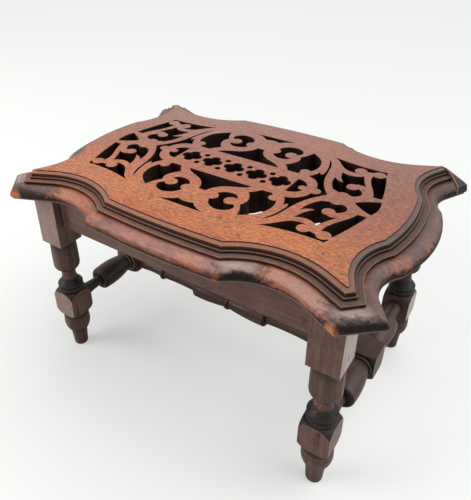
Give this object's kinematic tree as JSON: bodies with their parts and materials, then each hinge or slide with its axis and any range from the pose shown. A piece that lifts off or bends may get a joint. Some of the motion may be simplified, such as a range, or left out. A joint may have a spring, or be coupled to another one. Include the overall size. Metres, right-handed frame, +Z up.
{
  "type": "footstool",
  "caption": "Low wooden footstool with a pierced scrollwork top, stepped moulded edge with scalloped corners, turned legs, straight aprons and an H of turned stretchers.",
  "frame": {"origin": "on the floor under the middle of the top", "axes": "+X along the long side to the right, -Y towards the front, +Z up"},
  "size_m": [0.3468, 0.2472, 0.2055],
  "materials": {
    "top_wood": "waxed, worn",
    "patch_wood": "waxed, worn",
    "frame_wood": "waxed, worn",
    "apron_wood": "waxed, worn",
    "block_wood": "raw",
    "screw_steel": "dull",
    "nail_iron": "dull"
  },
  "bodies": {
    "root": {"top_board": "top_wood", "top_corner_patch": "patch_wood", "leg_front_left": "frame_wood", "leg_front_right": "frame_wood", "leg_back_left": "frame_wood", "leg_back_right": "frame_wood", "apron_front": "apron_wood", "apron_back": "apron_wood", "apron_left": "apron_wood", "apron_right": "apron_wood", "end_stretcher_left": "frame_wood", "end_stretcher_right": "frame_wood", "middle_stretcher": "frame_wood", "corner_block_front_left": "block_wood", "corner_block_front_right": "block_wood", "corner_block_back_left": "block_wood", "corner_block_back_right": "block_wood", "top_screws": "screw_steel", "block_nails": "nail_iron"}
  },
  "joints": []
}
